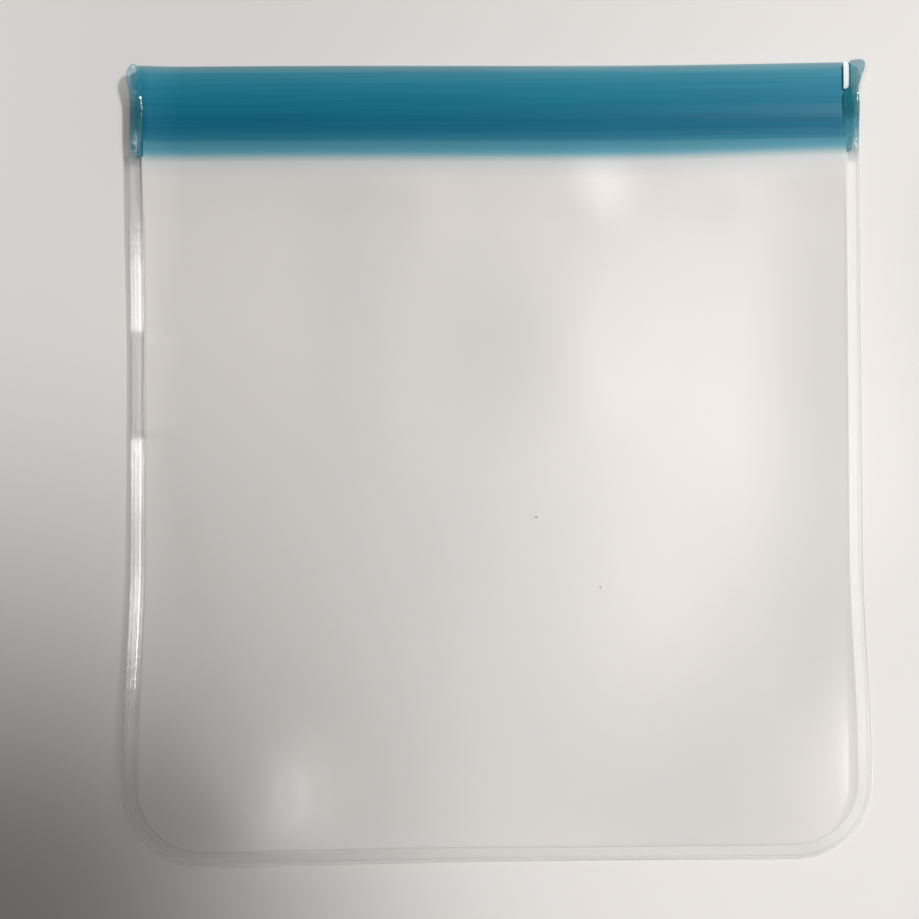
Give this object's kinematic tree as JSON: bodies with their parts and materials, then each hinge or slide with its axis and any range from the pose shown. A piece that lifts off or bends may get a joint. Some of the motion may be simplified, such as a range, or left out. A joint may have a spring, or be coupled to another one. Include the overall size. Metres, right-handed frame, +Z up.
{
  "type": "reusable food storage bag",
  "caption": "Frosted clear plastic food storage bag with a welded, round-cornered rim and a teal press-shut zip band, empty and shut, lying flat.",
  "frame": {"origin": "on the surface that the bag lies on, under the middle of its outline", "axes": "+Z up through the front film, +Y from the round-cornered foot to the zip, +X to the right seen from above"},
  "size_m": [0.2682, 0.288, 0.0076],
  "materials": {
    "frosted_film": "frosted see-through film, satin",
    "clear_weld": "clear, glossy where the film melted",
    "teal_zip": "see-through teal, satin",
    "crushed_zip": "pale teal, melted and glossy"
  },
  "bodies": {
    "root": {"pouch_film": "frosted_film", "edge_weld": "clear_weld", "zip_strip_front": "teal_zip", "zip_strip_back": "teal_zip", "zip_end_left": "crushed_zip", "zip_end_right": "crushed_zip"}
  },
  "joints": []
}
